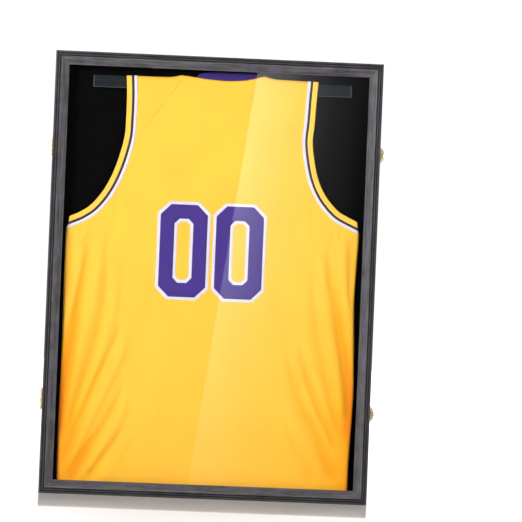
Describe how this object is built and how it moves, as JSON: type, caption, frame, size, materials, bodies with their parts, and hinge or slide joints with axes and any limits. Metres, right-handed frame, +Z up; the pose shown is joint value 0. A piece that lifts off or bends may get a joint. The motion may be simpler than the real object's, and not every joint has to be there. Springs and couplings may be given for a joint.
{
  "type": "jersey display frame",
  "caption": "Shallow wooden wall case with a hinged glazed front door, side latches and a lift-off hanger bar that displays a sleeveless sports jersey.",
  "frame": {"origin": "centre of the case's bottom face", "axes": "+X to the viewer's right, +Y back towards the wall, +Z up"},
  "size_m": [0.6152, 0.0404, 0.808],
  "materials": {
    "moulding_wood": "charcoal stained wood with a worn satin grain",
    "case_wood": "black satin stain",
    "bead_wood": "matte black",
    "backboard": "dark fibreboard",
    "felt": "black felt",
    "pane": "clear glossy acrylic",
    "steel": "zinc plated",
    "brass": "pale polished brass",
    "hanger_metal": "dark slate satin paint",
    "jersey_cloth": "golden yellow knitted polyester",
    "jersey_trim": "purple rib and twill"
  },
  "bodies": {
    "case": {"case_top_rail": "case_wood", "case_bottom_rail": "case_wood", "case_left_stile": "case_wood", "case_right_stile": "case_wood", "case_corner_nails": "steel", "backboard": "backboard", "backboard_screws": "steel", "felt_lining": "felt", "keyhole_plate_left": "steel", "keyhole_plate_right": "steel", "keyhole_screws": "steel", "hinge_case_leaf_upper": "brass", "hinge_case_leaf_lower": "brass", "hinge_pin_upper": "brass", "hinge_pin_lower": "brass", "hinge_case_screws": "brass", "latch_case_plate_upper": "brass", "latch_case_plate_lower": "brass", "latch_pin_upper": "brass", "latch_pin_lower": "brass", "latch_case_screws": "brass", "hanger_bracket": "hanger_metal", "hanger_bracket_screws": "steel"},
    "door": {"door_top_rail": "moulding_wood", "door_bottom_rail": "moulding_wood", "door_left_stile": "moulding_wood", "door_right_stile": "moulding_wood", "door_corner_nails": "steel", "acrylic_pane": "pane", "glazing_bead_top": "bead_wood", "glazing_bead_bottom": "bead_wood", "glazing_bead_left": "bead_wood", "glazing_bead_right": "bead_wood", "glazing_brads": "steel", "hinge_door_leaf_upper": "brass", "hinge_door_leaf_lower": "brass", "hinge_door_screws": "brass", "latch_strike_upper": "brass", "latch_strike_lower": "brass", "latch_strike_screws": "brass"},
    "upper_latch": {"latch_lever_upper": "brass"},
    "lower_latch": {"latch_lever_lower": "brass"},
    "hanger": {"hanger_bar": "hanger_metal", "hanger_hook": "hanger_metal", "hanger_rivets": "steel", "jersey_back_panel": "jersey_cloth", "jersey_front_panel": "jersey_cloth", "jersey_collar": "jersey_trim"}
  },
  "joints": [
    {"name": "door_hinge", "type": "hinge", "parent": "case", "child": "door", "pos_m": [-0.3024, -0.0127, 0.404], "axis": [0, 0, -1], "range_deg": [0, 175]},
    {"name": "upper_latch_pivot", "type": "hinge", "parent": "case", "child": "upper_latch", "pos_m": [0.3036, 0.0005, 0.641], "axis": [0, 0, 1], "range_deg": [0, 105]},
    {"name": "lower_latch_pivot", "type": "hinge", "parent": "case", "child": "lower_latch", "pos_m": [0.3036, 0.0005, 0.167], "axis": [0, 0, 1], "range_deg": [0, 105]},
    {"name": "hanger_lift", "type": "slide", "parent": "case", "child": "hanger", "axis": [0, 0, 1], "range_m": [0, 0.006]}
  ]
}
